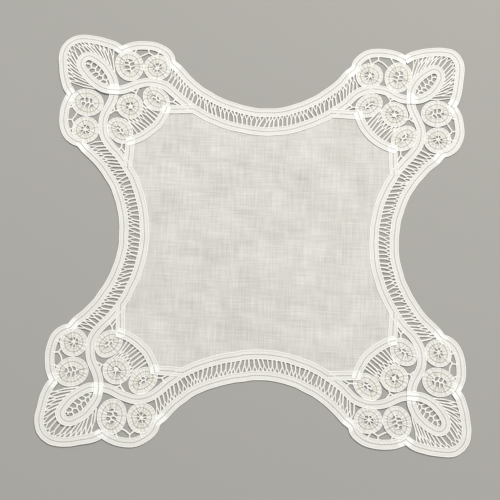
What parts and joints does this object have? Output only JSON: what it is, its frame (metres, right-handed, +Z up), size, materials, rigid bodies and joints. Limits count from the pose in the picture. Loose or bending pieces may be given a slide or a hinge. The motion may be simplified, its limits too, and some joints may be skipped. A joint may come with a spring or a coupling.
{
  "type": "tape lace doily",
  "caption": "Square tape-lace doily with a linen centre, bowed sides and pointed looped corners joined by needle-lace stitches, laid flat under a vase, lamp or dish.",
  "frame": {"origin": "middle of the linen's underside, on the surface the doily lies on", "axes": "+Z up from that surface, +X and +Y along the doily's sides, the corners on the diagonals"},
  "size_m": [0.406, 0.406, 0.0006],
  "materials": {
    "linen": "plain-weave white linen",
    "tape": "woven white cotton lace tape",
    "thread": "twisted white cotton thread"
  },
  "bodies": {
    "root": {"linen_centre": "linen", "outer_tape_back": "tape", "inner_tape_back": "tape", "side_stitches_back": "thread", "outer_tape_right": "tape", "inner_tape_right": "tape", "side_stitches_right": "thread", "outer_tape_front": "tape", "inner_tape_front": "tape", "side_stitches_front": "thread", "outer_tape_left": "tape", "inner_tape_left": "tape", "side_stitches_left": "thread", "tip_tape_back_right": "tape", "tip_loop_back_right": "tape", "corner_bow_back_right": "tape", "tip_stitches_back_right": "thread", "centre_round_back_right": "tape", "side_round_a_back_right": "tape", "side_round_b_back_right": "tape", "shoulder_oval_a_back_right": "tape", "shoulder_oval_b_back_right": "tape", "inner_oval_a_back_right": "tape", "inner_oval_b_back_right": "tape", "tip_tape_front_right": "tape", "tip_loop_front_right": "tape", "corner_bow_front_right": "tape", "tip_stitches_front_right": "thread", "centre_round_front_right": "tape", "side_round_a_front_right": "tape", "side_round_b_front_right": "tape", "shoulder_oval_a_front_right": "tape", "shoulder_oval_b_front_right": "tape", "inner_oval_a_front_right": "tape", "inner_oval_b_front_right": "tape", "tip_tape_front_left": "tape", "tip_loop_front_left": "tape", "corner_bow_front_left": "tape", "tip_stitches_front_left": "thread", "centre_round_front_left": "tape", "side_round_a_front_left": "tape", "side_round_b_front_left": "tape", "shoulder_oval_a_front_left": "tape", "shoulder_oval_b_front_left": "tape", "inner_oval_a_front_left": "tape", "inner_oval_b_front_left": "tape", "tip_tape_back_left": "tape", "tip_loop_back_left": "tape", "corner_bow_back_left": "tape", "tip_stitches_back_left": "thread", "centre_round_back_left": "tape", "side_round_a_back_left": "tape", "side_round_b_back_left": "tape", "shoulder_oval_a_back_left": "tape", "shoulder_oval_b_back_left": "tape", "inner_oval_a_back_left": "tape", "inner_oval_b_back_left": "tape"}
  },
  "joints": []
}
